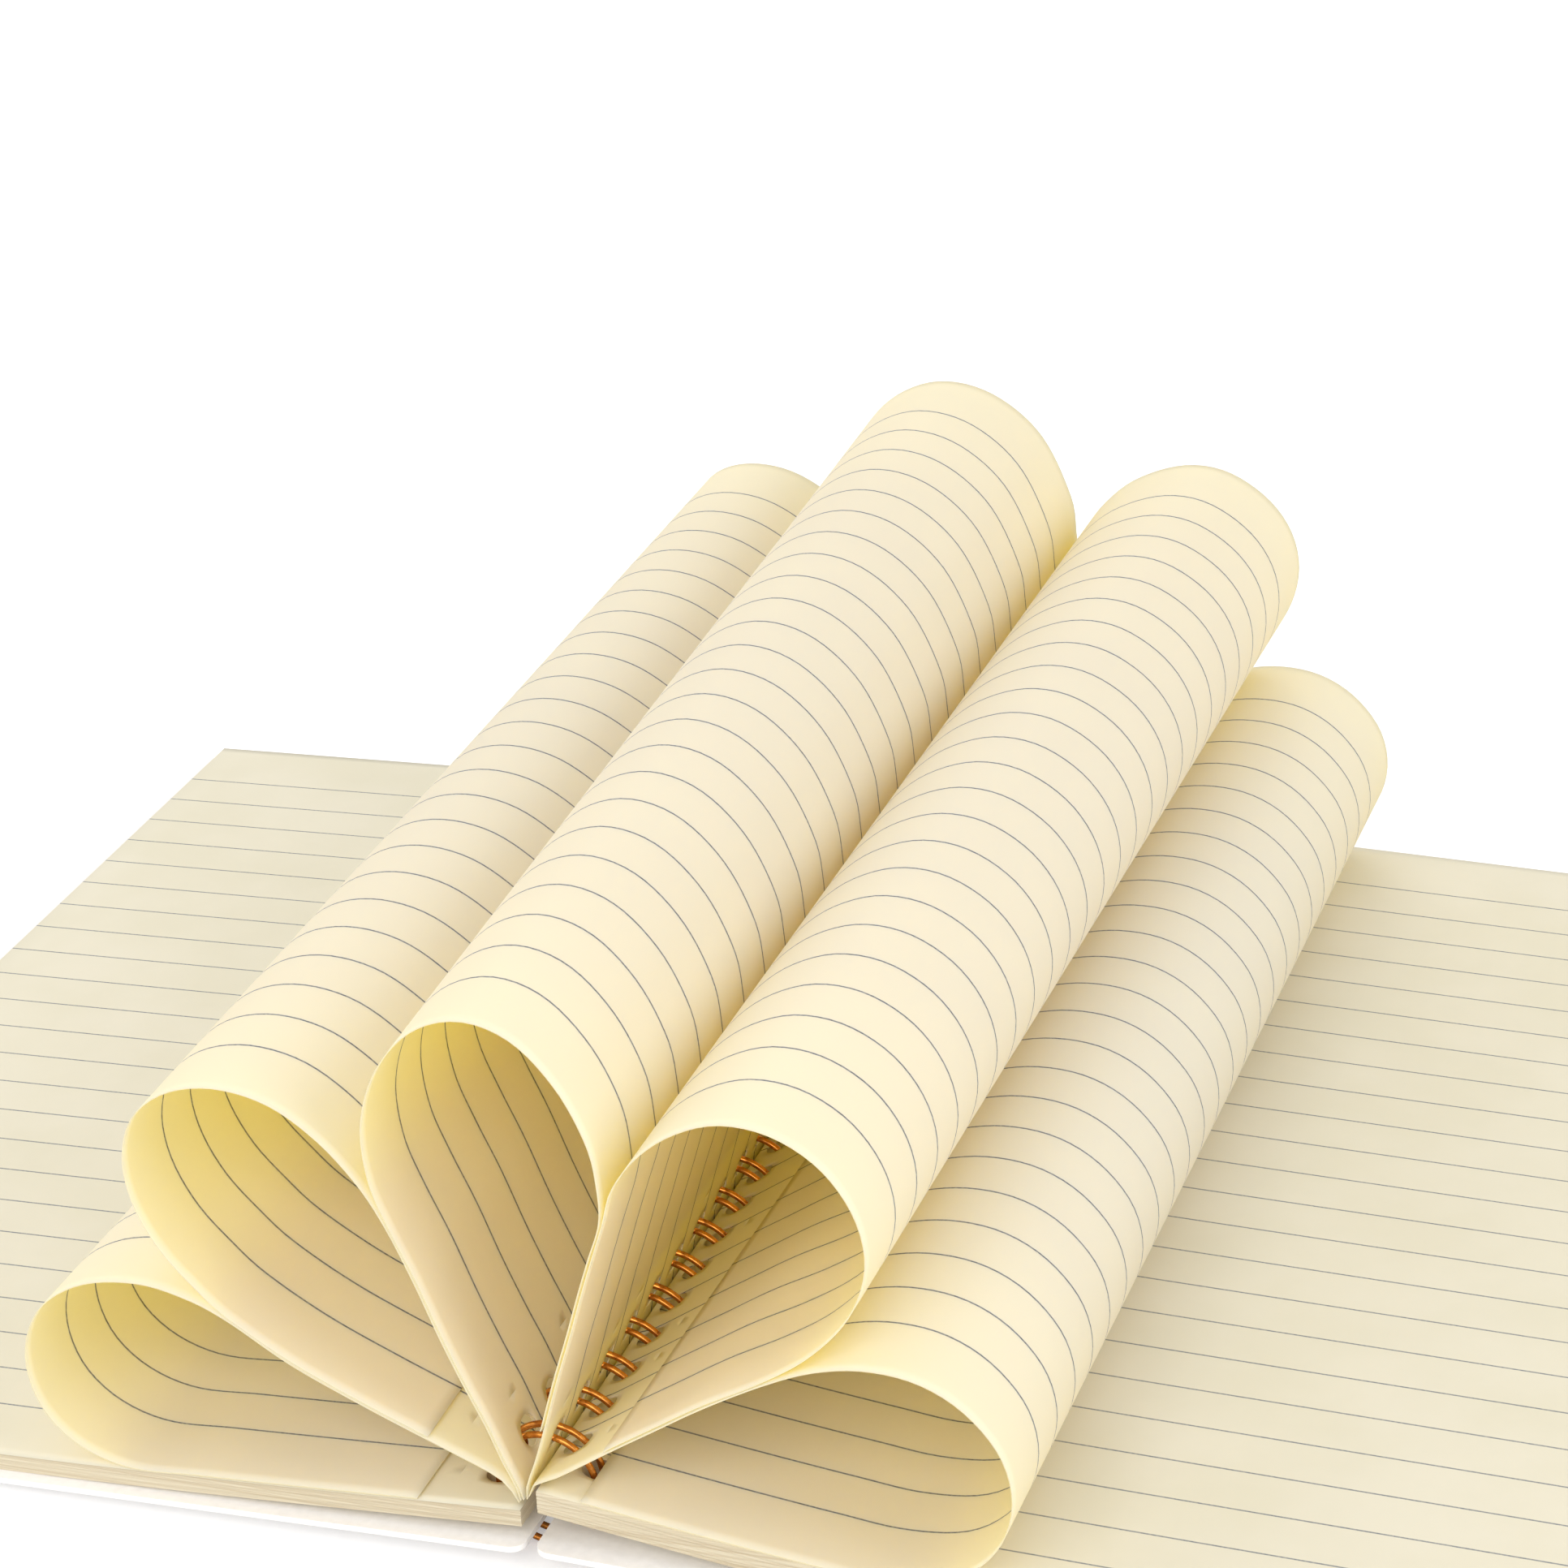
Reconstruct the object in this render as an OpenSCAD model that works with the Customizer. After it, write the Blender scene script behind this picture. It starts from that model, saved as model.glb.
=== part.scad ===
// Twin-wire notebook, open near its middle and lying on a table.
// Five loose leaves stand up from the wire, each curled over into a long roll along the spine.
// Millimetres. +Z is up, Y runs along the wire, and the table is z = 0.
// The origin is on the table, under the wire, at the middle of its length.

/* [Paper] */
// Width of a page, from its bound edge to its fore edge
page_w = 140; // [130:1:150]
// Length of a page along the wire
page_l = 210; // [150:1:297]
// Thickness of one curled leaf
leaf_t = 0.15; // [0.1:0.01:0.2]
// Clear space between leaves that lie on each other
leaf_gap = 0.25; // [0.2:0.05:0.4]
// Thickness of the stack of pages on the left
left_stack = 2.4; // [1.5:0.1:3.2]
// Thickness of the stack of pages on the right
right_stack = 3.1; // [1.5:0.1:3.6]

/* [Lie of the pages] */
// How far the left stack stands off its cover at the bound edge
left_rise = 2.1; // [1.5:0.1:2.6]
// Width over which the left stack comes down to its cover
left_ramp = 75; // [50:1:100]
// How far the right stack stands off its cover at the bound edge
right_rise = 4.6; // [4.2:0.1:5]
// Width over which the right stack comes down to its cover
right_ramp = 45; // [35:1:60]
// Clear space between a stack and the cover under it
stack_seat = 0.05; // [0.02:0.01:0.1]

/* [Punching] */
// Distance between hole centres, three to the inch
hole_pitch = 8.467; // [6.35:0.001:12.7]
// Least distance from a page's end to its first hole centre
hole_end = 6; // [5:0.5:9]
// Diameter of the holes in the paper
hole_d = 4.2; // [4:0.1:4.6]
// Distance from a page's bound edge to its hole centres
hole_edge = 5.3; // [4.6:0.1:5.6]

/* [Wire] */
// Diameter of the wire
wire_d = 0.9; // [0.7:0.05:1]
// Width of the closed loop, inside
loop_w = 12; // [11.5:0.1:12.5]
// Height of the closed loop, inside
loop_h = 14.6; // [14:0.1:15.5]
// Distance between the two wires of one finger
pair_gap = 2.5; // [2:0.1:2.7]
// How far below the middle of the loop's side the legs begin, as an angle round the loop
seam_drop = 14; // [10:1:18]
// Radius of the bends between a bar and its legs
bar_bend = 0.6; // [0.5:0.05:0.8]
// Height from a bar to the lowest point of the finger tips, between their centre lines
seam_gap = 0.7; // [0.7:0.1:1]

/* [Covers] */
// Thickness of a cover
cover_t = 0.8; // [0.5:0.1:1]
// How far a cover reaches past the pages at the fore edge
cover_fore = 3; // [0:0.5:5]
// How far a cover reaches past the pages at each end
cover_end = 1.5; // [0:0.5:4]
// Radius of a cover's corners
cover_corner = 2; // [0.5:0.5:6]
// Height of a cover's underside at its bound edge
cover_lift = 3.6; // [3.5:0.1:3.8]
// Diameter of the holes in a cover
cover_hole_d = 4.4; // [4.2:0.1:4.6]
// Distance from a cover's bound edge to its hole centres
cover_hole_edge = 4.75; // [4.5:0.05:5]
// How far the hole centres lie inside the wire's line, for the cover to swing
cover_slack = 0.28; // [0.2:0.02:0.4]

/* [Hidden] */

PAPER = [0.96, 0.92, 0.80];
STACK = [0.95, 0.90, 0.78];
COPPER = [0.72, 0.42, 0.16];
CARD = [0.93, 0.90, 0.91];

// Holes
hole_count = floor((page_l - 2 * hole_end) / hole_pitch) + 1;
hole_first = -(hole_count - 1) * hole_pitch / 2;
function hole_y(k) = hole_first + k * hole_pitch;

// The closed loop is two half circles joined by short upright stretches
loop_r = (loop_w + wire_d) / 2;
low_z = loop_r + wire_d / 2;
high_z = low_z + loop_h - loop_w;

// Half width of the loop's centre line at height z
function loop_x(z) =
    z < low_z ? sqrt(loop_r * loop_r - (low_z - z) * (low_z - z)) :
    z > high_z ? sqrt(loop_r * loop_r - (z - high_z) * (z - high_z)) : loop_r;

// Point on the upper half of the loop, at angle a from the right
function on_loop(a) = [loop_r * cos(a), high_z + loop_r * sin(a)];

// Covers: flat sheets, held up at the wire and resting on their fore edges
cover_hole_x = loop_x(cover_lift + cover_t / 2) - cover_slack;
cover_bound_x = cover_hole_x - cover_hole_edge;
page_hole_x = loop_r;
page_bound_x = page_hole_x - hole_edge;
cover_w = page_bound_x + page_w + cover_fore - cover_bound_x;
cover_l = page_l + 2 * cover_end;
cover_tilt = asin(cover_lift / cover_w);

// Height of a cover's upper face at distance x from the wire's middle
function cover_top(x) = cover_lift + cover_t - (x - cover_bound_x) * tan(cover_tilt);

// Underside of a stack: flat on its cover, rising towards the wire
function stack_foot(x, rise, ramp, bend) =
    cover_top(x) + stack_seat + rise * pow(max(0, 1 - x / ramp), bend);
left_bend = 1.5;
right_bend = 1.2;
function left_top(x) = stack_foot(x, left_rise, left_ramp, left_bend) + left_stack;
function right_top(x) = stack_foot(x, right_rise, right_ramp, right_bend) + right_stack;

// Curves in the XZ plane
// Point at t from 0 to 1 on the smooth curve from b to c, with a before b and d after c
function between(a, b, c, d, t) =
    0.5 * (2 * b + (c - a) * t + (2 * a - 5 * b + 4 * c - d) * t * t + (3 * b - a - 3 * c + d) * t * t * t);

// Smooth curve through the points p, with n steps from each to the next
function smooth(p, n) = let (last = len(p) - 1)
    [for (i = [0 : last - 1], j = [0 : n - 1])
        between(p[max(i - 1, 0)], p[i], p[i + 1], p[min(i + 2, last)], j / n), p[last]];

function backwards(p) = [for (i = [len(p) - 1 : -1 : 0]) p[i]];

// The first stretch of path p with the length given, drawn out straight if p is shorter
function stretch(p, length, i = 0) = let (step = norm(p[i + 1] - p[i]))
    length <= step || i == len(p) - 2 ?
        [for (k = [0 : i]) p[k], p[i] + (p[i + 1] - p[i]) * length / step] :
        stretch(p, length - step, i + 1);

// Unit vector to the left of path p at its point i
function left_of(p, i) = let (run = p[min(i + 1, len(p) - 1)] - p[max(i - 1, 0)])
    [-run[1], run[0]] / norm(run);

// Path p moved sideways, to its left if d is positive
function beside(p, d) = [for (i = [0 : len(p) - 1]) p[i] + d * left_of(p, i)];

// The curls are laid out for a page 140 wide, and a wider page makes wider curls
curl = page_w / 140;

// Points of a curl, given from the middle of the loop's upper half circle
function from_loop(p) = [for (q = p) q * curl + [0, high_z]];

// Points of a curl over a stack: distance from the wire's middle, and height above the lie of a leaf on it
function over_left(p) = [for (q = p) let (x = q[0] * curl)
    [-x, left_top(x) + leaf_gap + leaf_t / 2 + q[1] * curl]];
function over_right(p) = [for (q = p) let (x = q[0] * curl)
    [x, right_top(x) + leaf_gap + leaf_t / 2 + q[1] * curl]];

// Places where leaves lie on each other, as lines from the wire outwards
wall_1_2 = concat([on_loop(135.6)], from_loop([[-10.2, 6.9], [-20.5, 11.3], [-30, 15.8], [-38, 20.8]]));
wall_2_3 = concat([on_loop(113.8)], from_loop([[-4.5, 10.9], [-6.8, 16], [-9.5, 22.5], [-12.4, 30.3],
    [-15.4, 37.3]]));
wall_3_4 = concat([on_loop(80.7)], from_loop([[2.4, 10.5], [4.8, 18.5], [7, 25.2], [8.8, 31], [10.6, 36.5],
    [12.3, 41.5]]));
wall_4_5 = concat([on_loop(52.9)], from_loop([[11.2, 10.1], [16.8, 13.8], [23.5, 18.2], [31, 22.5]]));
lay = (leaf_t + leaf_gap) / 2;

// The margins inside the loop clear the corners of the stacks, and are laid out for a loop 6.45 in radius
margin_z = max(high_z, left_top(page_bound_x) + 0.6, right_top(page_bound_x) - 2.5);
function in_loop(p) = [for (q = p) q * loop_r / 6.45 + [0, margin_z]];

// Each leaf: the points inside the loop, from the bound edge out, then those beyond it
inside_1 = in_loop([[-1.5, 1.2], [-2.6, 2.9]]);
beyond_1 = concat(beside(wall_1_2, lay),
    from_loop([[-43.5, 23], [-50, 24.2], [-57.5, 23], [-63.5, 19.2], [-66.6, 13.7], [-67, 8]]),
    over_left([[65, 6.4], [60.5, 2.2]]),
    over_left([for (x = [54 : -9 : 0]) [x, 0]]));

inside_2 = in_loop([[-0.85, 0.8], [-1.5, 3.1]]);
beyond_2 = concat(beside(wall_2_3, lay),
    from_loop([[-18.7, 42.6], [-23.5, 48], [-29.5, 52], [-36.5, 53.3], [-43, 51.8], [-47.8, 47.8],
        [-49.8, 42], [-49.2, 35.8], [-46.4, 29.8], [-42.2, 24.9]]),
    backwards(beside(wall_1_2, -lay)));

inside_3 = in_loop([[-0.45, 0.8], [-1.1, 3.1]]);
beyond_3 = concat(beside(wall_2_3, -lay),
    from_loop([[-17.2, 43.5], [-17.4, 51], [-14.8, 58.5], [-9.8, 64.3], [-3.5, 66.5], [2.8, 64.6], [8, 59],
        [11.3, 52], [12.2, 46.3]]),
    backwards(beside(wall_3_4, lay)));

inside_4 = in_loop([[-0.05, 1.2], [0.1, 3.3]]);
beyond_4 = concat(beside(wall_3_4, -lay),
    from_loop([[14, 46.4], [17.5, 51.3], [22.3, 55], [28, 57], [34.3, 56.3], [40, 52.8], [43.8, 47],
        [44.8, 40.3], [42.4, 33.3], [37.2, 27.2]]),
    backwards(beside(wall_4_5, lay)));

inside_5 = in_loop([[0.25, 1.7], [1.15, 3.6]]);
beyond_5 = concat(beside(wall_4_5, -lay),
    from_loop([[37.5, 25.2], [44, 26.5], [50.5, 25.8], [56, 22.8], [60.2, 17.6], [61.6, 11.5]]),
    over_right([[60.2, 8.6], [56.5, 3.8], [51.5, 1]]),
    over_right([for (x = [44 : -8 : 0]) [x, 0]]));

curl_steps = 4;

// Centre line of a leaf, from its bound edge to its free edge, page_w long
function leaf_line(inside, beyond) = let (
        line = smooth(concat(inside, beyond), curl_steps),
        at_loop = len(inside) * curl_steps,
        inner = [for (i = [at_loop : -1 : 0]) line[i]],
        outer = [for (i = [at_loop : len(line) - 1]) line[i]],
        margin = backwards(stretch(inner, hole_edge)),
        rest = stretch(outer, page_w - hole_edge))
    concat(margin, [for (i = [1 : len(rest) - 1]) rest[i]]);

// Punching pins, upright on the XY plane along the wire
module punch(d, depth) {
    for (k = [0 : hole_count - 1])
        translate([0, hole_y(k), -depth / 2]) cylinder(d = d, h = depth, $fn = 32);
}

// A profile in the XZ plane drawn along Y to the length given
module along_wire(length) {
    translate([0, length / 2, 0]) rotate([90, 0, 0]) linear_extrude(height = length) children();
}

module curled_leaf(inside, beyond) {
    line = leaf_line(inside, beyond);
    hole_at = beyond[0];
    lean = beyond[0] - inside[len(inside) - 1];
    color(PAPER) difference() {
        along_wire(page_l)
            polygon(concat(beside(line, leaf_t / 2), backwards(beside(line, -leaf_t / 2))));
        translate([hole_at[0], 0, hole_at[1]]) rotate([0, -atan2(lean[1], lean[0]), 0]) punch(hole_d, 2);
    }
}

module curled_leaf_1() { curled_leaf(inside_1, beyond_1); }
module curled_leaf_2() { curled_leaf(inside_2, beyond_2); }
module curled_leaf_3() { curled_leaf(inside_3, beyond_3); }
module curled_leaf_4() { curled_leaf(inside_4, beyond_4); }
module curled_leaf_5() { curled_leaf(inside_5, beyond_5); }

// A stack of pages on the right-hand side; its foot bends up towards the wire
module page_stack(thickness, rise, ramp, bend) {
    bends = 12;
    fore_x = page_bound_x + page_w;
    xs = concat([for (i = [0 : bends - 1]) page_bound_x + (ramp - page_bound_x) * i / bends], [ramp, fore_x]);
    foot = [for (x = xs) [x, stack_foot(x, rise, ramp, bend)]];
    lean = atan((stack_foot(page_hole_x + 1, rise, ramp, bend) - stack_foot(page_hole_x - 1, rise, ramp, bend)) / 2);
    color(STACK) difference() {
        along_wire(page_l) polygon(concat(foot, [for (p = backwards(foot)) p + [0, thickness]]));
        translate([page_hole_x, 0, stack_foot(page_hole_x, rise, ramp, bend) + thickness / 2])
            rotate([0, -lean, 0]) punch(hole_d, 3 * thickness);
    }
}

module left_pages() { mirror([1, 0, 0]) page_stack(left_stack, left_rise, left_ramp, left_bend); }
module right_pages() { page_stack(right_stack, right_rise, right_ramp, right_bend); }

// A cover on the right-hand side
module cover() {
    color(CARD) translate([cover_bound_x, 0, cover_lift]) rotate([0, cover_tilt, 0]) difference() {
        linear_extrude(height = cover_t) difference() {
            translate([0, -cover_l / 2]) square([cover_w, cover_l]);
            for (side = [-1, 1], end = [-1, 1])
                translate([side < 0 ? 0 : cover_w, end * cover_l / 2]) corner_waste(-side, -end);
        }
        translate([cover_hole_edge, 0, cover_t / 2]) punch(cover_hole_d, 3 * cover_t);
    }
}

// What a rounded corner loses; sx and sy point from the corner into the sheet
module corner_waste(sx, sy) {
    difference() {
        translate([sx * cover_corner / 2, sy * cover_corner / 2]) square(cover_corner, center = true);
        translate([sx * cover_corner, sy * cover_corner]) circle(r = cover_corner, $fn = 32);
    }
}

module front_cover() { mirror([1, 0, 0]) cover(); }
module back_cover() { cover(); }

// Part of a ring of wire in the XZ plane, from angle a, turning by sweep
module wire_arc(a, sweep) {
    rotate([90, 0, 0]) rotate([0, 0, a]) rotate_extrude(angle = sweep, $fn = 64)
        translate([loop_r, 0]) circle(d = wire_d, $fn = 16);
}

module upright(x, z0, z1) {
    translate([x, 0, z0]) cylinder(d = wire_d, h = z1 - z0, $fn = 16);
}

// A bend of wire in the YZ plane, from +Z round to +Y, with radius r
module bend(r, sweep) {
    translate([0, r, 0]) rotate([90, 0, -90])
        rotate_extrude(angle = sweep, $fn = 32) translate([r, 0]) circle(d = wire_d, $fn = 16);
}

// Places its children at the seam, where a leg meets its bar, with Z along the wire and X outwards
module at_seam() {
    translate([0, 0, low_z]) rotate([0, -seam_angle, 0]) translate([loop_r, 0, 0]) children();
}

seam_angle = -seam_drop;
seam_z = low_z + loop_r * sin(seam_angle) + bar_bend * cos(seam_angle);
tip_z = seam_z + seam_gap + pair_gap / 2;
// A leg and its bend stop this far from the seam, inside a band that stands 0.02 mm proud of them
seam_play = 0.06;

// One leg of a finger, from the bar down round the loop to the top of the tip's bend
module leg() {
    translate([0, 0, low_z]) wire_arc(180, 180 + seam_angle - 10 * seam_play);
    at_seam() translate([0, 0, -0.2]) cylinder(d = wire_d + 0.04, h = 0.4, $fn = 16);
    upright(-loop_r, low_z, high_z);
    translate([0, 0, high_z]) wire_arc(0, 180);
    upright(loop_r, tip_z, high_z);
}

// A finger is two legs, joined by a round tip
module finger() {
    for (side = [-1, 1]) translate([0, side * pair_gap / 2, 0]) leg();
    translate([loop_r, -pair_gap / 2, tip_z]) mirror([0, 0, 1]) bend(pair_gap / 2, 180);
}

// A bar joins one finger to the next
module bar() {
    at_seam() translate([0, 0, seam_play]) {
        bend(bar_bend, 90);
        translate([0, bar_bend, bar_bend]) rotate([-90, 0, 0])
            cylinder(d = wire_d, h = hole_pitch - pair_gap - 2 * bar_bend, $fn = 16);
        translate([0, hole_pitch - pair_gap, 0]) mirror([0, 1, 0]) bend(bar_bend, 90);
    }
}

// One wire throughout, with a finger through each hole
module twin_wire() {
    color(COPPER) {
        for (k = [0 : hole_count - 1]) translate([0, hole_y(k), 0]) finger();
        for (k = [0 : hole_count - 2]) translate([0, hole_y(k) + pair_gap / 2, 0]) bar();
    }
}

twin_wire();
front_cover();
back_cover();
left_pages();
right_pages();
curled_leaf_1();
curled_leaf_2();
curled_leaf_3();
curled_leaf_4();
curled_leaf_5();
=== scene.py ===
import math

import bpy
import numpy as np
from mathutils import Matrix, Vector


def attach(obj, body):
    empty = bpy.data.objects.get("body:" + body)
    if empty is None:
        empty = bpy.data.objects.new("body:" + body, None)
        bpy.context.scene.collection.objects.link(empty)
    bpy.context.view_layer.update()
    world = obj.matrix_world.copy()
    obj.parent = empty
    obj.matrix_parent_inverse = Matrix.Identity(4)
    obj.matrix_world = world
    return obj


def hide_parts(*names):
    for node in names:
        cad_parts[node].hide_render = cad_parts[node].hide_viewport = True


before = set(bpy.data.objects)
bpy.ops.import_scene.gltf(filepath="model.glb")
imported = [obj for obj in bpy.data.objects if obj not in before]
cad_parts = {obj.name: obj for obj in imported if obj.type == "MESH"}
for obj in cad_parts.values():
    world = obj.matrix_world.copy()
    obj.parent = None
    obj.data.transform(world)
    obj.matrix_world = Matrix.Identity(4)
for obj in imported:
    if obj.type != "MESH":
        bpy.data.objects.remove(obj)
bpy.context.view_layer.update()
scene = bpy.context.scene

# The view
# A long lens looks down on the open book from its near right-hand end, a little rolled, so
# that the rolls of paper run away towards the upper right.
lens = bpy.data.cameras.new("view")
lens.sensor_width = 36.0
lens.lens = 102.65
lens.clip_end = 20.0
camera = bpy.data.objects.new("view", lens)
scene.collection.objects.link(camera)
stand = Vector((0.19107, -0.52213, 0.31633))
aim = Vector((0.00362, -0.01092, 0.06428))
ROLL = -3.062
turn = (aim - stand).to_track_quat("-Z", "Y").to_matrix()
turn = turn @ Matrix.Rotation(math.radians(ROLL), 3, "Z")
camera.matrix_world = Matrix.Translation(stand) @ turn.to_4x4()
scene.camera = camera
scene.view_settings.view_transform = "Standard"
# Light goes from wall to wall inside a roll, and through the walls, many times before it fades.
scene.cycles.diffuse_bounces = 10
scene.cycles.transmission_bounces = 14
scene.cycles.max_bounces = 16

# The light
# A white room gives most of it. Four broad lamps, in front, behind and on either side, model the
# rolls and shine through them. The room and the table show white to the camera, and the table
# keeps a soft shadow.
ROOM_LIGHT = 0.65
room = bpy.data.worlds.new("room")
scene.world = room
room.use_nodes = True
nodes, links = room.node_tree.nodes, room.node_tree.links
air = nodes["Background"]
air.inputs["Color"].default_value = (1.0, 1.0, 1.0, 1.0)
air.inputs["Strength"].default_value = ROOM_LIGHT
backdrop = nodes.new("ShaderNodeBackground")
backdrop.inputs["Strength"].default_value = 1.0
seen = nodes.new("ShaderNodeLightPath")
pick = nodes.new("ShaderNodeMixShader")
white_for = seen.outputs["Is Camera Ray"]
for ray in ("Is Glossy Ray", "Is Transmission Ray"):
    either = nodes.new("ShaderNodeMath")
    either.operation = "MAXIMUM"
    links.new(white_for, either.inputs[0])
    links.new(seen.outputs[ray], either.inputs[1])
    white_for = either.outputs[0]
links.new(white_for, pick.inputs[0])
links.new(air.outputs[0], pick.inputs[1])
links.new(backdrop.outputs[0], pick.inputs[2])
links.new(pick.outputs[0], nodes["World Output"].inputs["Surface"])


def lamp(name, place, target, width, power):
    """A square lamp of the width given, standing at place and facing target."""
    light = bpy.data.lights.new(name, "AREA")
    light.size = width
    light.energy = power
    ob = bpy.data.objects.new(name, light)
    scene.collection.objects.link(ob)
    facing = (Vector(target) - Vector(place)).to_track_quat("-Z", "Y")
    ob.matrix_world = Matrix.Translation(Vector(place)) @ facing.to_matrix().to_4x4()


lamp("left", (-1.05, -0.25, 0.60), (0.0, 0.0, 0.04), 0.8, 3.5)
lamp("front", (0.00, -1.18, 0.72), (0.0, 0.0, 0.03), 0.9, 10.5)
lamp("back", (-0.50, 1.05, 0.60), (0.0, 0.0, 0.05), 0.9, 4.5)
lamp("right", (1.05, -0.15, 0.60), (0.0, 0.0, 0.03), 0.8, 5.5)


def linear(r, g, b):
    """A colour as a picture writes it, 0 to 255, turned to the linear values that shaders take."""
    c = np.array([r, g, b]) / 255.0
    c = np.where(c <= 0.04045, c / 12.92, ((c + 0.055) / 1.055) ** 2.4)
    return (float(c[0]), float(c[1]), float(c[2]), 1.0)


def mesh_object(name, points, faces, smooth=True):
    """An object at the origin from an array of points and an array of faces."""
    mesh = bpy.data.meshes.new(name)
    mesh.from_pydata(points.tolist(), [], faces.tolist())
    mesh.polygons.foreach_set("use_smooth", np.full(len(mesh.polygons), smooth))
    mesh.update()
    ob = bpy.data.objects.new(name, mesh)
    scene.collection.objects.link(ob)
    return ob


def new_material(name):
    """An empty material with its output, and short ways to add a node and to join two sockets."""
    mat = bpy.data.materials.new(name)
    mat.use_nodes = True
    tree = mat.node_tree
    tree.nodes.clear()
    out = tree.nodes.new("ShaderNodeOutputMaterial")

    def add(kind, **settings):
        node = tree.nodes.new("ShaderNode" + kind)
        for key, value in settings.items():
            if hasattr(node, key):
                setattr(node, key, value)
            else:
                node.inputs[key.replace("_", " ")].default_value = value
        return node

    return mat, out, add, tree.links.new


# The table
# A plain pale sheet, far wider than the view. It stands under the covers' fore edges and the
# lowest points of the wire. What the camera sees of it is lifted to white.
WHITE_LIFT = 0.34
plane = np.array([[-4, -4, 0], [4, -4, 0], [4, 6, 0], [-4, 6, 0]], float)
table = mesh_object("table", plane, np.array([[0, 1, 2, 3]]), smooth=False)
mat, out, add, join = new_material("table_white")
paint = add("BsdfPrincipled", Base_Color=(0.8, 0.8, 0.8, 1.0), Roughness=0.9)
lift = add("Emission", Color=(1.0, 1.0, 1.0, 1.0), Strength=WHITE_LIFT)
both = add("AddShader")
path = add("LightPath")
switch = add("MixShader")
join(paint.outputs[0], both.inputs[0])
join(lift.outputs[0], both.inputs[1])
join(path.outputs["Is Camera Ray"], switch.inputs[0])
join(paint.outputs[0], switch.inputs[1])
join(both.outputs[0], switch.inputs[2])
join(switch.outputs[0], out.inputs["Surface"])
table.data.materials.append(mat)

# The writing paper
# Smooth cream stock with fine grey rules printed across both faces, from the bound edge to the
# fore edge. Light comes through a single leaf and turns warmer on the way.
RULES = 24
RULE_PITCH = 0.00809
FIRST_RULE = 0.0921
RULE_WIDTH = 0.00028
SOLID_INK, NO_INK = 0.35 * RULE_WIDTH, 0.65 * RULE_WIDTH


def ruled_paper(name, light, dark, through):
    """Cream paper whose rules follow from Y: a rule lies where Y, counted in pitches from the
    first rule, is near a whole number. light and dark are the two shades of the stock, and
    through is the share of the light that goes into the sheet and out at its other face."""
    mat, out, add, join = new_material(name)
    place = add("TexCoord")
    xyz = add("SeparateXYZ")
    join(place.outputs["Object"], xyz.inputs[0])
    count = add("Math", operation="MULTIPLY_ADD")
    count.inputs[1].default_value = -1.0 / RULE_PITCH
    count.inputs[2].default_value = FIRST_RULE / RULE_PITCH
    join(xyz.outputs["Y"], count.inputs[0])
    near = add("Math", operation="PINGPONG")
    near.inputs[1].default_value = 0.5
    join(count.outputs[0], near.inputs[0])
    rule = add("MapRange", interpolation_type="SMOOTHSTEP")
    rule.inputs["From Min"].default_value = SOLID_INK / RULE_PITCH
    rule.inputs["From Max"].default_value = NO_INK / RULE_PITCH
    rule.inputs["To Min"].default_value = 1.0
    rule.inputs["To Max"].default_value = 0.0
    join(near.outputs[0], rule.inputs["Value"])
    middle = add("Math", operation="COMPARE")
    middle.inputs[1].default_value = (RULES - 1) / 2
    middle.inputs[2].default_value = RULES / 2
    join(count.outputs[0], middle.inputs[0])
    printed = add("Math", operation="MULTIPLY")
    join(rule.outputs[0], printed.inputs[0])
    join(middle.outputs[0], printed.inputs[1])
    ink_wear = add("TexNoise", Scale=2600.0, Detail=2.0)
    join(place.outputs["Object"], ink_wear.inputs["Vector"])
    density = add("MapRange")
    density.inputs["From Min"].default_value = 0.3
    density.inputs["From Max"].default_value = 0.7
    density.inputs["To Min"].default_value = 0.6
    density.inputs["To Max"].default_value = 0.88
    join(ink_wear.outputs["Fac"], density.inputs["Value"])
    ink = add("Math", operation="MULTIPLY")
    join(printed.outputs[0], ink.inputs[0])
    join(density.outputs[0], ink.inputs[1])
    cloud = add("TexNoise", Scale=55.0, Detail=4.0)
    join(place.outputs["Object"], cloud.inputs["Vector"])
    stock = add("ValToRGB")
    stock.color_ramp.elements[0].position = 0.35
    stock.color_ramp.elements[0].color = linear(*dark)
    stock.color_ramp.elements[1].position = 0.65
    stock.color_ramp.elements[1].color = linear(*light)
    join(cloud.outputs["Fac"], stock.inputs["Fac"])
    colour = add("MixRGB")
    colour.inputs[2].default_value = linear(104, 112, 122)
    join(ink.outputs[0], colour.inputs[0])
    join(stock.outputs[0], colour.inputs[1])
    fibre = add("TexNoise", Scale=3800.0, Detail=3.0)
    join(place.outputs["Object"], fibre.inputs["Vector"])
    tooth = add("Bump", Strength=0.12, Distance=0.00004)
    join(fibre.outputs["Fac"], tooth.inputs["Height"])
    face = add("BsdfPrincipled", Roughness=0.78)
    face.inputs["Specular IOR Level"].default_value = 0.25
    join(colour.outputs[0], face.inputs["Base Color"])
    join(tooth.outputs[0], face.inputs["Normal"])
    if not through:
        join(face.outputs[0], out.inputs["Surface"])
        return mat
    glow = add("BsdfTranslucent")
    warm = add("MixRGB")
    warm.inputs[1].default_value = linear(255, 237, 84)
    warm.inputs[2].default_value = linear(84, 78, 36)
    join(ink.outputs[0], warm.inputs[0])
    join(warm.outputs[0], glow.inputs["Color"])
    blend = add("MixShader")
    blend.inputs[0].default_value = through
    join(face.outputs[0], blend.inputs[1])
    join(glow.outputs[0], blend.inputs[2])
    join(blend.outputs[0], out.inputs["Surface"])
    return mat


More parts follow.
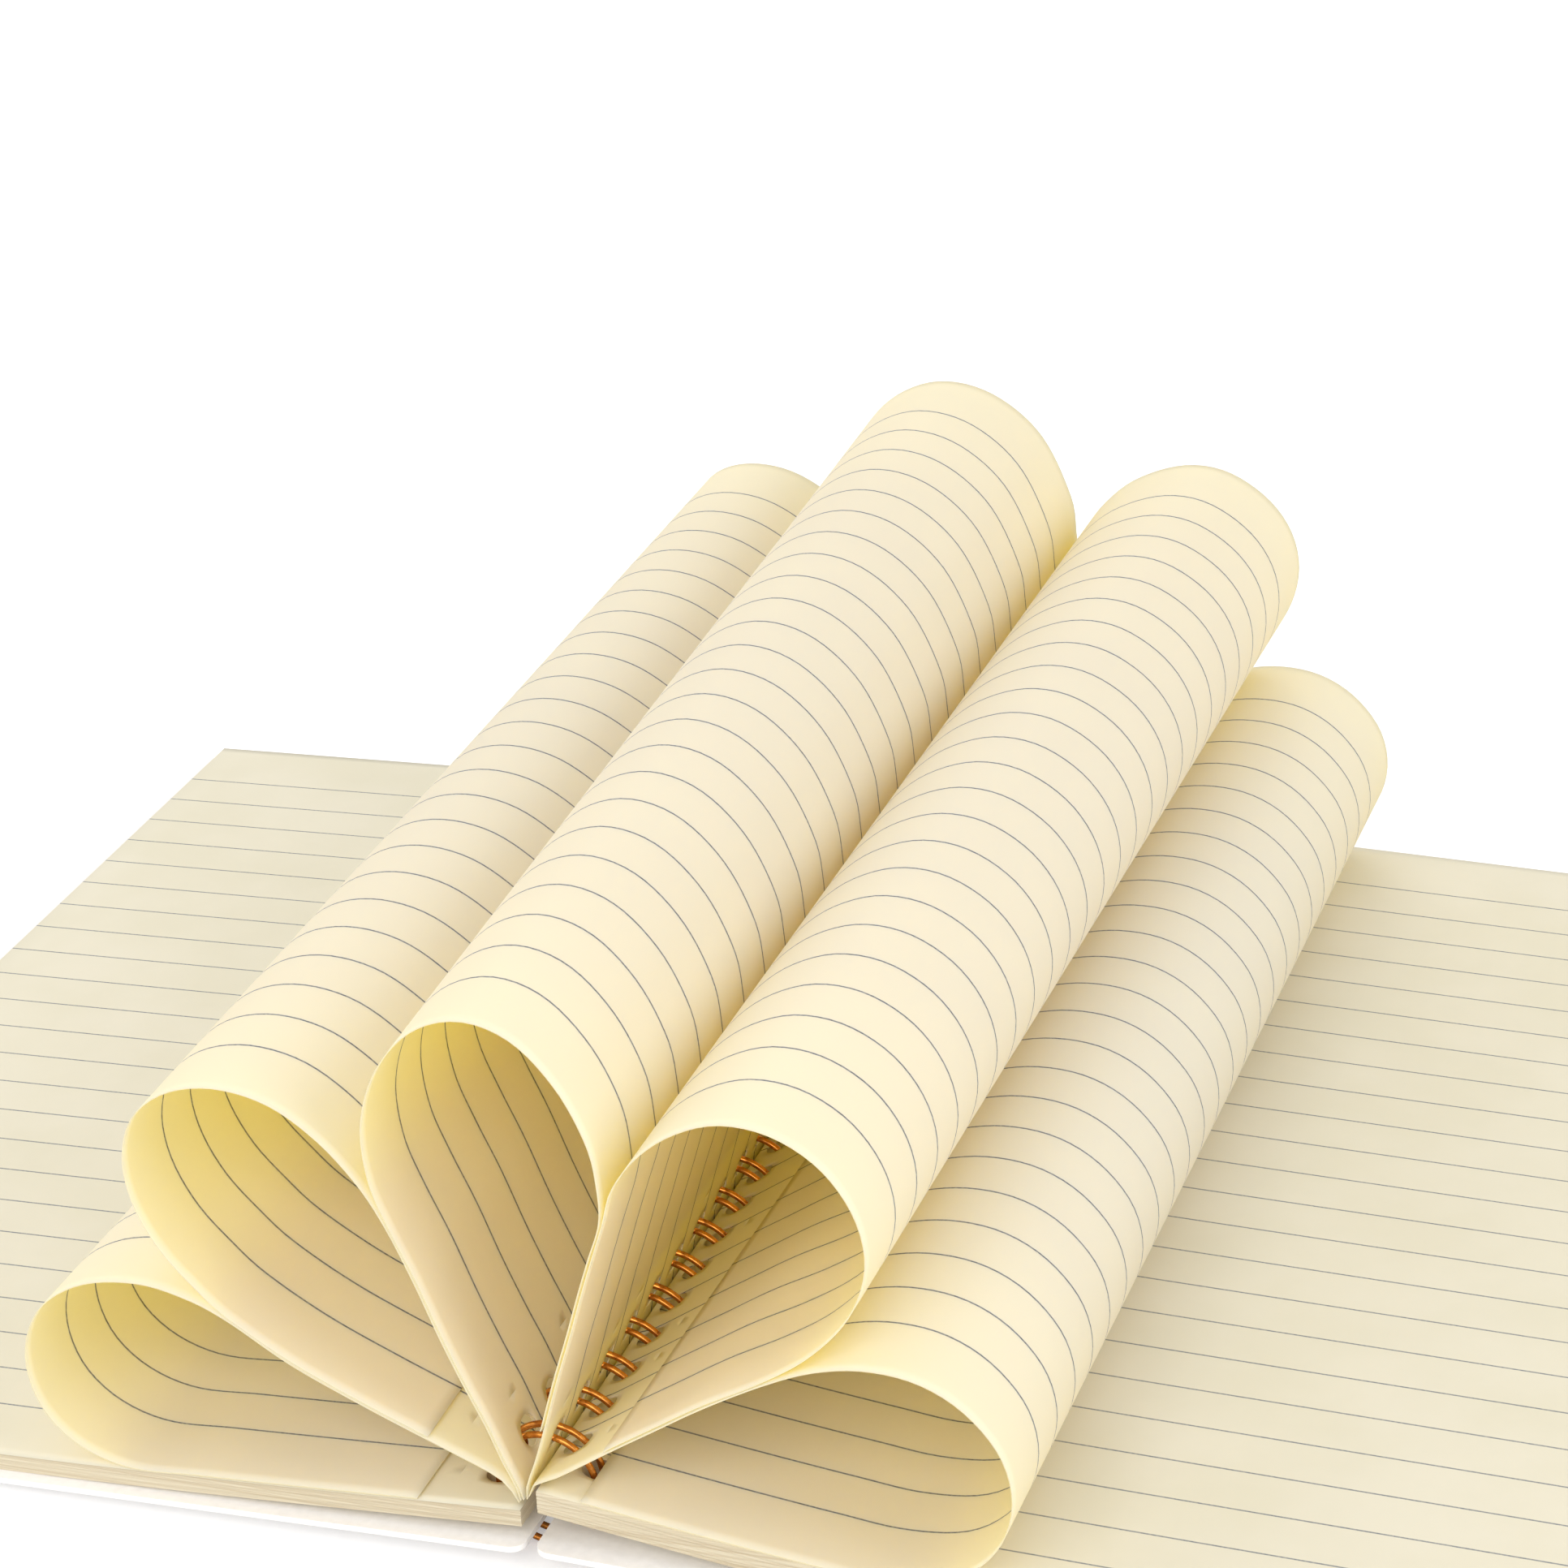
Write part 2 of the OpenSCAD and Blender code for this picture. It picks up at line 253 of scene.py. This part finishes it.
# A punched sheet
# Every leaf and every page of the stacks has the same row of round holes, three to the inch,
# along its bound edge.
PAGE_W = 0.140
PAGE_L = 0.210
HOLE_PITCH = 0.008467
HOLES = 24
HOLE_R = 0.0021
HOLE_EDGE = 0.0053
AROUND = 6


def hole_cell(rings):
    """The oblong of paper round one hole as a grid: 4 * AROUND spokes run from the circle to the
    rim, and rings cross them at even steps. Returns points (s, y) and quads."""
    side = np.linspace(-1.0, 1.0, AROUND + 1)[:-1]
    one = np.ones(AROUND)
    rim = np.concatenate([np.stack([side, -one], 1), np.stack([one, side], 1),
                          np.stack([-side, one], 1), np.stack([-one, -side], 1)])
    half = np.array([HOLE_EDGE, HOLE_PITCH / 2])
    angle = np.arctan2(rim[:, 1], rim[:, 0])
    circle = HOLE_R * np.stack([np.cos(angle), np.sin(angle)], 1)
    t = np.linspace(0.0, 1.0, rings + 1)[:, None, None]
    points = circle[None] * (1 - t) + (rim * half)[None] * t
    n = 4 * AROUND
    i, j = np.meshgrid(np.arange(rings), np.arange(n), indexing="ij")
    a, b = i * n + j, i * n + (j + 1) % n
    return points.reshape(-1, 2), np.stack([a, a + n, b + n, b], -1).reshape(-1, 4)


def grid_cell(s, y):
    """A plain grid over the values s and y. Returns points (s, y) and quads."""
    points = np.stack(np.meshgrid(s, y, indexing="ij"), -1).reshape(-1, 2)
    i, j = np.meshgrid(np.arange(len(s) - 1), np.arange(len(y) - 1), indexing="ij")
    a = i * len(y) + j
    return points, np.stack([a, a + len(y), a + len(y) + 1, a + 1], -1).reshape(-1, 4)


def punched_sheet(rows):
    """A flat punched page as points (s, y), s from the bound edge, and quads. rows are the values
    of s past the punched strip."""
    margin = 2 * HOLE_EDGE
    ring_points, ring_quads = hole_cell(3)
    centres = (np.arange(HOLES) - (HOLES - 1) / 2) * HOLE_PITCH
    parts = [(ring_points + (HOLE_EDGE, c), ring_quads) for c in centres]
    edge = HOLES * HOLE_PITCH / 2
    ends = np.linspace(edge, PAGE_L / 2, 3)
    across = np.linspace(0.0, margin, AROUND + 1)
    parts += [grid_cell(across, ends), grid_cell(across, -ends[::-1])]
    columns = np.linspace(-edge, edge, HOLES * AROUND + 1)
    columns = np.concatenate([-ends[:0:-1], columns, ends[1:]])
    parts.append(grid_cell(np.concatenate([[margin], rows]), columns))
    start = np.cumsum([0] + [len(p) for p, _ in parts[:-1]])
    points = np.concatenate([p for p, _ in parts])
    quads = np.concatenate([q + k for (_, q), k in zip(parts, start)])
    microns = np.round(points * 1e6).astype(int)
    _, first, same = np.unique(microns, axis=0, return_index=True, return_inverse=True)
    return points[first], same.reshape(-1)[quads]


def outline_edges(quads):
    """The edges that only one quad has, each in the direction in which its quad runs."""
    edges = np.stack([quads, np.roll(quads, -1, axis=1)], -1).reshape(-1, 2)
    key = np.sort(edges, axis=1)
    _, back, times = np.unique(key, axis=0, return_inverse=True, return_counts=True)
    return edges[times[back.reshape(-1)] == 1]


def closed_sheet(name, levels, quads, face_paper, edge_paper):
    """A closed solid from copies of one sheet: the first level is its lower face, the last its
    upper face, and walls of the edge paper join each level to the next along the sheet's outline
    and round its holes."""
    n = len(levels[0])
    edges = outline_edges(quads)
    on_edge = np.unique(edges)
    slot = np.full(n, -1)
    slot[on_edge] = np.arange(len(on_edge))
    middle = [np.asarray(level)[on_edge] for level in levels[1:-1]]
    points = np.concatenate([levels[0], levels[-1]] + middle)
    walls = []
    for k in range(len(levels) - 1):
        low = edges if k == 0 else 2 * n + (k - 1) * len(on_edge) + slot[edges]
        high = n + edges if k == len(levels) - 2 else 2 * n + k * len(on_edge) + slot[edges]
        walls.append(np.stack([low[:, 0], low[:, 1], high[:, 1], high[:, 0]], 1))
    faces = np.concatenate([quads[:, ::-1], quads + n] + walls)
    ob = mesh_object(name, points, faces)
    ob.data.materials.append(face_paper)
    ob.data.materials.append(edge_paper)
    on_wall = np.arange(len(faces)) >= 2 * len(quads)
    ob.data.polygons.foreach_set("use_smooth", ~on_wall)
    ob.data.polygons.foreach_set("material_index", np.where(on_wall, 1, 0))
    return ob


# The curled leaves
# Five loose leaves of the writing paper, threaded on the wire and bent over into rolls. Each
# leans on the next near the wire, and its free edge lies on its neighbour or on the stack. The
# paths of the leaves are in millimetres: x across the book, z up, from the near end.
LOOP_R = 6.45
LOW_Z = 6.9
HIGH_Z = 9.5
LAY = 0.2
LEAF_T = 0.00012
PATH_STEPS = 8
leaf_paper = ruled_paper("leaf_paper", (247, 251, 255), (245, 249, 254), 0.47)
# A cut edge lets no light through. Its colour is painted darker and browner than the faces: painted
# shade, so that the lit edge does not show as a bright rim.
leaf_edge_painted_shade = ruled_paper("leaf_edge_painted_shade", (222, 210, 172), (216, 204, 164), 0.0)


def smooth_path(points, steps):
    """A smooth curve through the points: a cubic between each two, with the slope at a point
    taken from the points on either side of it."""
    p = np.vstack([points[0], points, points[-1]])
    t = (np.arange(steps) / steps)[:, None]
    parts = []
    for i in range(1, len(p) - 2):
        slope = p[i + 1] - p[i - 1]
        square = 2 * p[i - 1] - 5 * p[i] + 4 * p[i + 1] - p[i + 2]
        cube = 3 * p[i] - p[i - 1] - 3 * p[i + 1] + p[i + 2]
        parts.append(0.5 * (2 * p[i] + slope * t + square * t ** 2 + cube * t ** 3))
    return np.vstack(parts + [points[-1:]])


def beside(points, d):
    """The path moved sideways by d, to its left if d is positive."""
    run = np.gradient(points, axis=0)
    run[0], run[-1] = points[1] - points[0], points[-1] - points[-2]
    left = np.stack([-run[:, 1], run[:, 0]], 1)
    return points + d * left / np.linalg.norm(run, axis=1)[:, None]


def wall(angle, points):
    """Where two leaves lie on each other, from the wire's loop at the angle given outwards."""
    a = math.radians(angle)
    return np.array([(LOOP_R * math.cos(a), HIGH_Z + LOOP_R * math.sin(a))] + points)


WALL_12 = wall(135.6, [(-10.2, 16.4), (-20.5, 20.8), (-30, 25.3), (-38, 30.3)])
WALL_23 = wall(113.8, [(-4.5, 20.4), (-6.8, 25.5), (-9.5, 32), (-12.4, 39.8), (-15.4, 46.8)])
WALL_34 = wall(80.7, [(2.4, 20), (4.8, 28), (7, 34.7), (8.8, 40.5), (10.6, 46), (12.3, 51)])
WALL_45 = wall(52.9, [(11.2, 19.6), (16.8, 23.3), (23.5, 27.7), (31, 32)])
COVER_X, COVER_Z, COVER_FALL = 0.73, 4.4, 0.02511
ON_COVER, ON_STACK = 0.05, 0.32


def cover_top(x):
    """Height of the cover's upper face at x millimetres from the wire's middle: a straight fall
    from its bound edge."""
    return COVER_Z - (x - COVER_X) * COVER_FALL


def stack_foot(x, rise, ramp, bend):
    """Height of a stack's underside: its cover, and a rise that fades out over the ramp's width."""
    return cover_top(x) + ON_COVER + rise * np.clip(1 - x / ramp, 0, None) ** bend


LEFT_FOOT, LEFT_STACK = (2.1, 75, 1.5), 2.4
RIGHT_FOOT, RIGHT_STACK = (4.6, 45, 1.2), 3.1
left_x = np.arange(54, -1, -9)
right_x = np.arange(44, -1, -8)
left_bed = np.stack([-left_x, stack_foot(left_x, *LEFT_FOOT) + LEFT_STACK + ON_STACK], 1)
right_bed = np.stack([right_x, stack_foot(right_x, *RIGHT_FOOT) + RIGHT_STACK + ON_STACK], 1)

# For each leaf: the points inside the loop, the wall it starts along, its free run, how far each
# point of that run has moved at the far end of the page, and what the leaf comes back on.
LEAVES = [
    ([(-1.5, 10.7), (-2.6, 12.4)], beside(WALL_12, LAY),
     [(-43.5, 32.5), (-50, 33.7), (-57.5, 32.5), (-63.5, 28.7), (-66.6, 23.2), (-67, 17.5),
      (-65, 12.1), (-60.5, 8.1)],
     [(0, 0)] * 8, left_bed),
    ([(-0.85, 10.3), (-1.5, 12.6)], beside(WALL_23, LAY),
     [(-18.7, 52.1), (-23.5, 57.5), (-29.5, 61.5), (-36.5, 62.8), (-43, 61.3), (-47.8, 57.3),
      (-49.8, 51.5), (-49.2, 45.3), (-46.4, 39.3), (-42.2, 34.4)],
     [(-2, 0), (-3.5, 0.5), (-4.5, 0.7), (-4.5, 0.5), (-4, 0.3), (-3, 0), (-2, 0), (-1.2, 0),
      (-0.6, 0), (0, 0)],
     beside(WALL_12, -LAY)[::-1]),
    ([(-0.45, 10.3), (-1.1, 12.6)], beside(WALL_23, -LAY),
     [(-17.2, 53), (-17.4, 60.5), (-14.8, 68), (-9.8, 73.8), (-3.5, 76), (2.8, 74.1), (8, 68.5),
      (11.3, 61.5), (12.2, 55.8)],
     [(-1.8, 1), (-4.9, 1), (-7.7, 1.5), (-7.5, 2.3), (-6, 3.4), (-3.8, 3.8), (-1.4, 3.3),
      (-0.1, 0.5), (-0.2, 0)],
     beside(WALL_34, LAY)[::-1]),
    ([(-0.05, 10.7), (0.1, 12.8)], beside(WALL_34, -LAY),
     [(14, 55.9), (17.5, 60.8), (22.3, 64.5), (28, 66.5), (34.3, 65.8), (40, 62.3),
      (43.8, 56.5), (44.8, 49.8), (42.4, 42.8), (37.2, 36.7)],
     [(-0.3, 0.6), (-0.7, 0.4), (-0.3, 1.1), (1.5, 1.9), (2.2, 2), (3.1, 1.2), (3, 1), (2.5, 0.7),
      (1.9, 0.3), (0.8, 0.2)],
     beside(WALL_45, LAY)[::-1]),
    ([(0.25, 11.2), (1.15, 13.1)], beside(WALL_45, -LAY),
     [(37.5, 34.7), (44, 36), (50.5, 35.3), (56, 32.3), (60.2, 27.1), (61.6, 21), (60.2, 15),
      (56.5, 10.3), (51.5, 7.6)],
     [(0, 0)] * 9, right_bed),
]
S_STEPS = np.linspace(0.0, PAGE_W * 1000, 561)
STATIONS = np.linspace(-1.0, 1.0, 9)
AHEAD, BEHIND = 60, 20


def leaf_table(inside, start, free, drift, back):
    """Where the leaf lies at each station along the wire: x, z and the unit normal for each step
    of s. The path goes on straight past both its ends, so that every step finds its place."""
    rows = []
    for t in STATIONS:
        run = np.array(free, float) + (t + 1) / 2 * np.array(drift, float)
        control = np.vstack([np.array(inside, float), start, run, back])
        line = smooth_path(control, PATH_STEPS)
        hole = PATH_STEPS * len(inside)
        length = np.concatenate([[0], np.cumsum(np.linalg.norm(np.diff(line, axis=0), axis=1))])
        s = length - length[hole] + HOLE_EDGE * 1000
        ahead = line[-1] + AHEAD * (line[-1] - line[-2])
        behind = line[0] + BEHIND * (line[0] - line[1])
        s = np.concatenate([[s[0] - BEHIND * (s[1] - s[0])], s, [s[-1] + AHEAD * (s[-1] - s[-2])]])
        line = np.vstack([behind, line, ahead])
        at = np.stack([np.interp(S_STEPS, s, line[:, 0]), np.interp(S_STEPS, s, line[:, 1])], 1)
        run = np.gradient(at, axis=0)
        run /= np.linalg.norm(run, axis=1)[:, None]
        rows.append(np.concatenate([at, np.stack([-run[:, 1], run[:, 0]], 1)], 1))
    return np.array(rows)


def lay_leaf(table_of_leaf, flat, lift):
    """Points of the flat sheet carried to the leaf's curve, lift metres to its left: between the
    nearest four values of the table, by their distances."""
    u = np.clip((flat[:, 1] / (PAGE_L / 2) + 1) / 2 * (len(STATIONS) - 1), 0, len(STATIONS) - 1.001)
    v = np.clip(flat[:, 0] / PAGE_W * (len(S_STEPS) - 1), 0, len(S_STEPS) - 1.001)
    i, j = u.astype(int), v.astype(int)
    a, b = (u - i)[:, None], (v - j)[:, None]
    q = ((1 - a) * (1 - b) * table_of_leaf[i, j] + (1 - a) * b * table_of_leaf[i, j + 1]
         + a * (1 - b) * table_of_leaf[i + 1, j] + a * b * table_of_leaf[i + 1, j + 1])
    x = q[:, 0] / 1000 + lift * q[:, 2]
    z = q[:, 1] / 1000 + lift * q[:, 3]
    return np.stack([x, flat[:, 1], z], 1)


leaf_flat, leaf_quads = punched_sheet(np.linspace(2 * HOLE_EDGE, PAGE_W, 88)[1:])
for number, leaf in enumerate(LEAVES, 1):
    curve = leaf_table(*leaf)
    faces = [lay_leaf(curve, leaf_flat, -LEAF_T / 2), lay_leaf(curve, leaf_flat, LEAF_T / 2)]
    sheet = closed_sheet(f"leaf_{number}", faces, leaf_quads[:, ::-1], leaf_paper, leaf_edge_painted_shade)
    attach(sheet, "book")
    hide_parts(f"curled_leaf_{number}")

# The stacks of pages
# The rest of the pages lie flat on both covers, rising a little to the wire. Their edges show
# the single sheets, which never quite line up.
# The stacks are the same writing paper as the leaves, but their stock is painted darker: painted
# shade on the flat pages.
stack_paper_painted_shade = ruled_paper("stack_paper_painted_shade", (223, 216, 195), (219, 212, 189), 0.0)

# The edges of the stacks are painted darker and browner than the pages: painted shade. A fine noise
# stretched across the sheets breaks them into bands.
mat, out, add, join = new_material("stack_edges_painted_shade")
place = add("TexCoord")
squeeze = add("Mapping")
squeeze.inputs["Scale"].default_value = (12.0, 12.0, 9000.0)
join(place.outputs["Object"], squeeze.inputs["Vector"])
layers = add("TexNoise", Scale=1.0, Detail=3.0)
join(squeeze.outputs[0], layers.inputs["Vector"])
shade = add("ValToRGB")
shade.color_ramp.elements[0].position = 0.36
shade.color_ramp.elements[0].color = linear(190, 175, 148)
shade.color_ramp.elements[1].position = 0.6
shade.color_ramp.elements[1].color = linear(208, 197, 172)
join(layers.outputs["Fac"], shade.inputs["Fac"])
groove = add("Bump", Strength=0.3, Distance=0.00006)
join(layers.outputs["Fac"], groove.inputs["Height"])
trimmed = add("BsdfPrincipled", Roughness=0.85)
trimmed.inputs["Specular IOR Level"].default_value = 0.2
join(shade.outputs[0], trimmed.inputs["Base Color"])
join(groove.outputs[0], trimmed.inputs["Normal"])
join(trimmed.outputs[0], out.inputs["Surface"])
stack_edges_painted_shade = mat

BOUND_X = 1.15
BENT_W = 0.076
bent_rows = np.linspace(2 * HOLE_EDGE, BENT_W, 34)[1:]
flat_rows = np.linspace(BENT_W, PAGE_W, 12)[1:]
stack_flat, stack_quads = punched_sheet(np.concatenate([bent_rows, flat_rows]))

# How far, at most, a sheet lies out of line across the page and along it. The third value is spare.
SLIP = (0.00022, 0.00012, 0.0001)


def page_stack(name, node, side, foot, thickness, sheets, seed):
    """A stack as copies of one sheet from its foot to its top. Each level is moved a hair along
    and across the page on its outline, so that the edges of the sheets show."""
    shift = np.random.default_rng(seed).uniform(-1, 1, (sheets + 1, 3)) * SLIP
    shift[:, 0] = np.minimum(shift[:, 0], 0.0) * 2
    levels = []
    for k in range(sheets + 1):
        s, y = stack_flat[:, 0], stack_flat[:, 1]
        fore = s > PAGE_W - 1e-7
        end = np.abs(y) > PAGE_L / 2 - 1e-7
        s = s + np.where(fore, shift[k, 0], 0.0)
        y = y + np.where(end, np.sign(y) * (shift[k, 1] - SLIP[1]), 0.0)
        x = s * 1000 + BOUND_X
        z = stack_foot(x, *foot) + thickness * k / sheets
        levels.append(np.stack([side * x / 1000, y, z / 1000], 1))
    quads = stack_quads if side > 0 else stack_quads[:, ::-1]
    ob = closed_sheet(name, levels, quads, stack_paper_painted_shade, stack_edges_painted_shade)
    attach(ob, "book")
    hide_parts(node)


page_stack("left_stack", "left_pages", -1, LEFT_FOOT, LEFT_STACK, 12, 3)
page_stack("right_stack", "right_pages", 1, RIGHT_FOOT, RIGHT_STACK, 15, 4)

# The covers
# Two sheets of pale card, punched like the pages and cut with rounded corners. They hang on the
# wire by their bound edges and lie on the table along their fore edges.
mat, out, add, join = new_material("cover_card")
place = add("TexCoord")
pulp = add("TexNoise", Scale=900.0, Detail=5.0)
join(place.outputs["Object"], pulp.inputs["Vector"])
tint = add("ValToRGB")
tint.color_ramp.elements[0].position = 0.3
tint.color_ramp.elements[0].color = linear(238, 235, 233)
tint.color_ramp.elements[1].position = 0.7
tint.color_ramp.elements[1].color = linear(245, 242, 240)
join(pulp.outputs["Fac"], tint.inputs["Fac"])
grain = add("Bump", Strength=0.2, Distance=0.00005)
join(pulp.outputs["Fac"], grain.inputs["Height"])
board = add("BsdfPrincipled", Roughness=0.6)
join(tint.outputs[0], board.inputs["Base Color"])
join(grain.outputs[0], board.inputs["Normal"])
join(board.outputs[0], out.inputs["Surface"])
for node in ("front_cover", "back_cover"):
    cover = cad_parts[node]
    cover.data.materials.clear()
    cover.data.materials.append(mat)

# The twin wire
# One length of round steel wire with a satin copper-coloured coat, bent into flat fingers and
# closed into loops. Each finger passes its hole twice, and short bars join the fingers.
WIRE_R = 0.45
PAIR_GAP = 2.5
SEAM = -14.0
BAR_BEND = 0.6
TIP_Z = 7.88


def turn_about(centre, radius, first, last, n):
    """Points (x, z) on part of a circle, from the first angle to the last, in degrees."""
    a = np.radians(np.linspace(first, last, n))
    return np.stack([centre[0] + radius * np.cos(a), centre[1] + radius * np.sin(a)], 1)


leg = np.vstack([turn_about((0, LOW_Z), LOOP_R, SEAM, -180, 34),
                 turn_about((0, HIGH_Z), LOOP_R, 180, 0, 37), [[LOOP_R, TIP_Z]]])
up = np.stack([leg[:, 0], np.full(len(leg), -PAIR_GAP / 2), leg[:, 1]], 1)
a = np.radians(np.linspace(0, 180, 13))[1:-1]
half_gap = PAIR_GAP / 2
tip = np.stack([np.full(len(a), LOOP_R), -half_gap * np.cos(a), TIP_Z - half_gap * np.sin(a)], 1)
down = up[::-1] * (1, -1, 1)
seam = np.radians(SEAM)
out_of = np.array([LOOP_R * np.cos(seam), 0, LOW_Z + LOOP_R * np.sin(seam)])
along = np.array([-np.sin(seam), 0, np.cos(seam)])
b = np.radians(np.linspace(0, 90, 7))[1:]
to_bar = np.array([0, 1, 0])
bend = out_of + BAR_BEND * (np.sin(b)[:, None] * along + (1 - np.cos(b))[:, None] * to_bar)
after = bend + (0, PAIR_GAP / 2, 0)
before = bend[::-1] * (1, -1, 1) - (0, PAIR_GAP / 2, 0)
finger = np.vstack([before, up, tip, down, after])
centres = (np.arange(HOLES) - (HOLES - 1) / 2) * HOLE_PITCH * 1000
route = (finger[None] + np.stack([0 * centres, centres, 0 * centres], 1)[:, None]).reshape(-1, 3)
route = route[len(before):len(route) - len(after)] / 1000
spline_data = bpy.data.curves.new("wire_line", "CURVE")
spline_data.dimensions = "3D"
spline_data.bevel_depth = WIRE_R / 1000
spline_data.bevel_resolution = 3
spline_data.use_fill_caps = True
spline = spline_data.splines.new("POLY")
spline.points.add(len(route) - 1)
spline.points.foreach_set("co", np.hstack([route, np.ones((len(route), 1))]).ravel())
drawn = bpy.data.objects.new("wire_line", spline_data)
scene.collection.objects.link(drawn)
depsgraph = bpy.context.evaluated_depsgraph_get()
wire_mesh = bpy.data.meshes.new_from_object(drawn.evaluated_get(depsgraph))
bpy.data.objects.remove(drawn)
wire_mesh.polygons.foreach_set("use_smooth", np.ones(len(wire_mesh.polygons), bool))
wire = bpy.data.objects.new("binding_wire", wire_mesh)
scene.collection.objects.link(wire)

mat, out, add, join = new_material("copper_coat")
place = add("TexCoord")
drawn_marks = add("TexNoise", Scale=1400.0, Detail=3.0)
join(place.outputs["Object"], drawn_marks.inputs["Vector"])
coat = add("ValToRGB")
coat.color_ramp.elements[0].position = 0.3
coat.color_ramp.elements[0].color = linear(178, 106, 40)
coat.color_ramp.elements[1].position = 0.7
coat.color_ramp.elements[1].color = linear(210, 140, 62)
join(drawn_marks.outputs["Fac"], coat.inputs["Fac"])
gloss = add("MapRange")
gloss.inputs["To Min"].default_value = 0.18
gloss.inputs["To Max"].default_value = 0.32
join(drawn_marks.outputs["Fac"], gloss.inputs["Value"])
metal = add("BsdfPrincipled", Metallic=0.85)
join(coat.outputs[0], metal.inputs["Base Color"])
join(gloss.outputs[0], metal.inputs["Roughness"])
join(metal.outputs[0], out.inputs["Surface"])
wire_mesh.materials.clear()
wire_mesh.materials.append(mat)
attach(wire, "book")
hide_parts("twin_wire")
